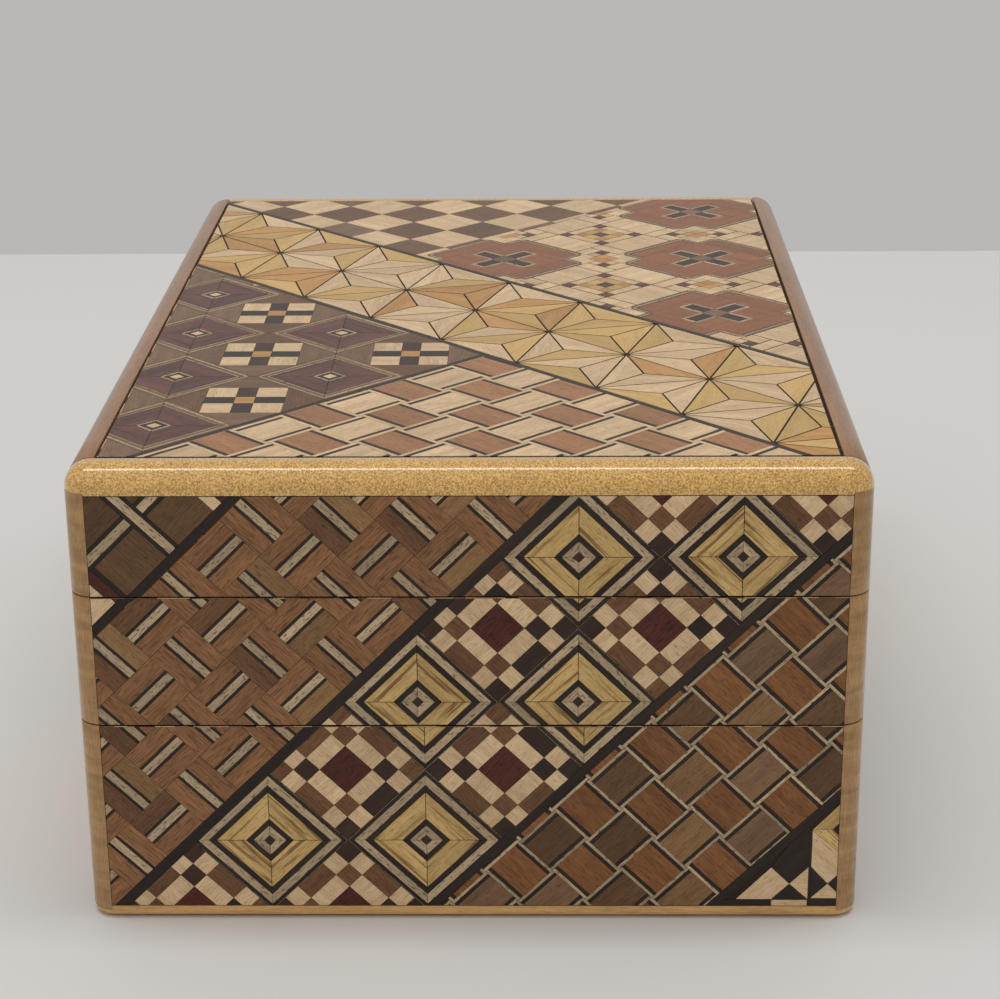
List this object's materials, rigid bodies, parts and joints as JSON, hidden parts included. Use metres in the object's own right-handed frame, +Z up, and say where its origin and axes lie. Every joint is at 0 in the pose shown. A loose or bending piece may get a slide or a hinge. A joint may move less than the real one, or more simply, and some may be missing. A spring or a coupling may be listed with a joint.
{
  "type": "sliding puzzle box",
  "caption": "Rectangular wooden puzzle box with marquetry veneer, a split near end, sliding side panels and a lid that slides off lengthwise.",
  "frame": {"origin": "middle of the face that the box stands on", "axes": "+Z up, +Y along the box from the near end with three strips to the far end, +X across the near end"},
  "size_m": [0.105, 0.153, 0.0655],
  "materials": {
    "lacquered_wood": "satin lacquer",
    "marquetry": "satin lacquer",
    "plain_wood": "bare",
    "key_wood": "bare"
  },
  "bodies": {
    "carcass": {"base_board": "plain_wood", "inner_floor": "plain_wood", "inner_left_wall": "plain_wood", "inner_right_wall": "plain_wood", "inner_near_wall": "plain_wood", "inner_far_wall": "plain_wood", "far_end_board": "lacquered_wood", "far_end_veneer": "marquetry", "near_lower_batten": "key_wood", "near_middle_batten": "key_wood", "near_top_batten": "key_wood", "left_lower_batten": "key_wood", "left_upper_batten": "key_wood", "right_lower_batten": "key_wood", "right_upper_batten": "key_wood"},
    "lower_strip": {"near_lower_strip": "lacquered_wood", "near_lower_veneer": "marquetry", "near_lower_peg": "key_wood"},
    "middle_strip": {"near_middle_strip": "lacquered_wood", "near_middle_veneer": "marquetry", "near_middle_peg": "key_wood"},
    "top_strip": {"near_top_strip": "lacquered_wood", "near_top_veneer": "marquetry", "near_top_peg": "key_wood"},
    "left_side": {"left_panel": "lacquered_wood", "left_veneer": "marquetry", "left_peg": "key_wood"},
    "right_side": {"right_panel": "lacquered_wood", "right_veneer": "marquetry", "right_peg": "key_wood"},
    "lid": {"lid_board": "plain_wood", "lid_veneer": "marquetry", "lid_end_strip": "lacquered_wood", "lid_end_veneer": "marquetry", "lid_left_runner": "key_wood", "lid_right_runner": "key_wood"}
  },
  "joints": [
    {"name": "lower_strip_slide", "type": "slide", "parent": "carcass", "child": "lower_strip", "axis": [1, 0, 0], "range_m": [0, 0.004]},
    {"name": "middle_strip_slide", "type": "slide", "parent": "carcass", "child": "middle_strip", "axis": [1, 0, 0], "range_m": [-0.005, 0]},
    {"name": "top_strip_slide", "type": "slide", "parent": "carcass", "child": "top_strip", "axis": [1, 0, 0], "range_m": [0, 0.004]},
    {"name": "left_panel_slide", "type": "slide", "parent": "carcass", "child": "left_side", "axis": [0, 1, 0], "range_m": [0, 0.005]},
    {"name": "right_panel_slide", "type": "slide", "parent": "carcass", "child": "right_side", "axis": [0, 1, 0], "range_m": [0, 0.005]},
    {"name": "lid_slide", "type": "slide", "parent": "carcass", "child": "lid", "axis": [0, 1, 0], "range_m": [0, 0.11]}
  ]
}
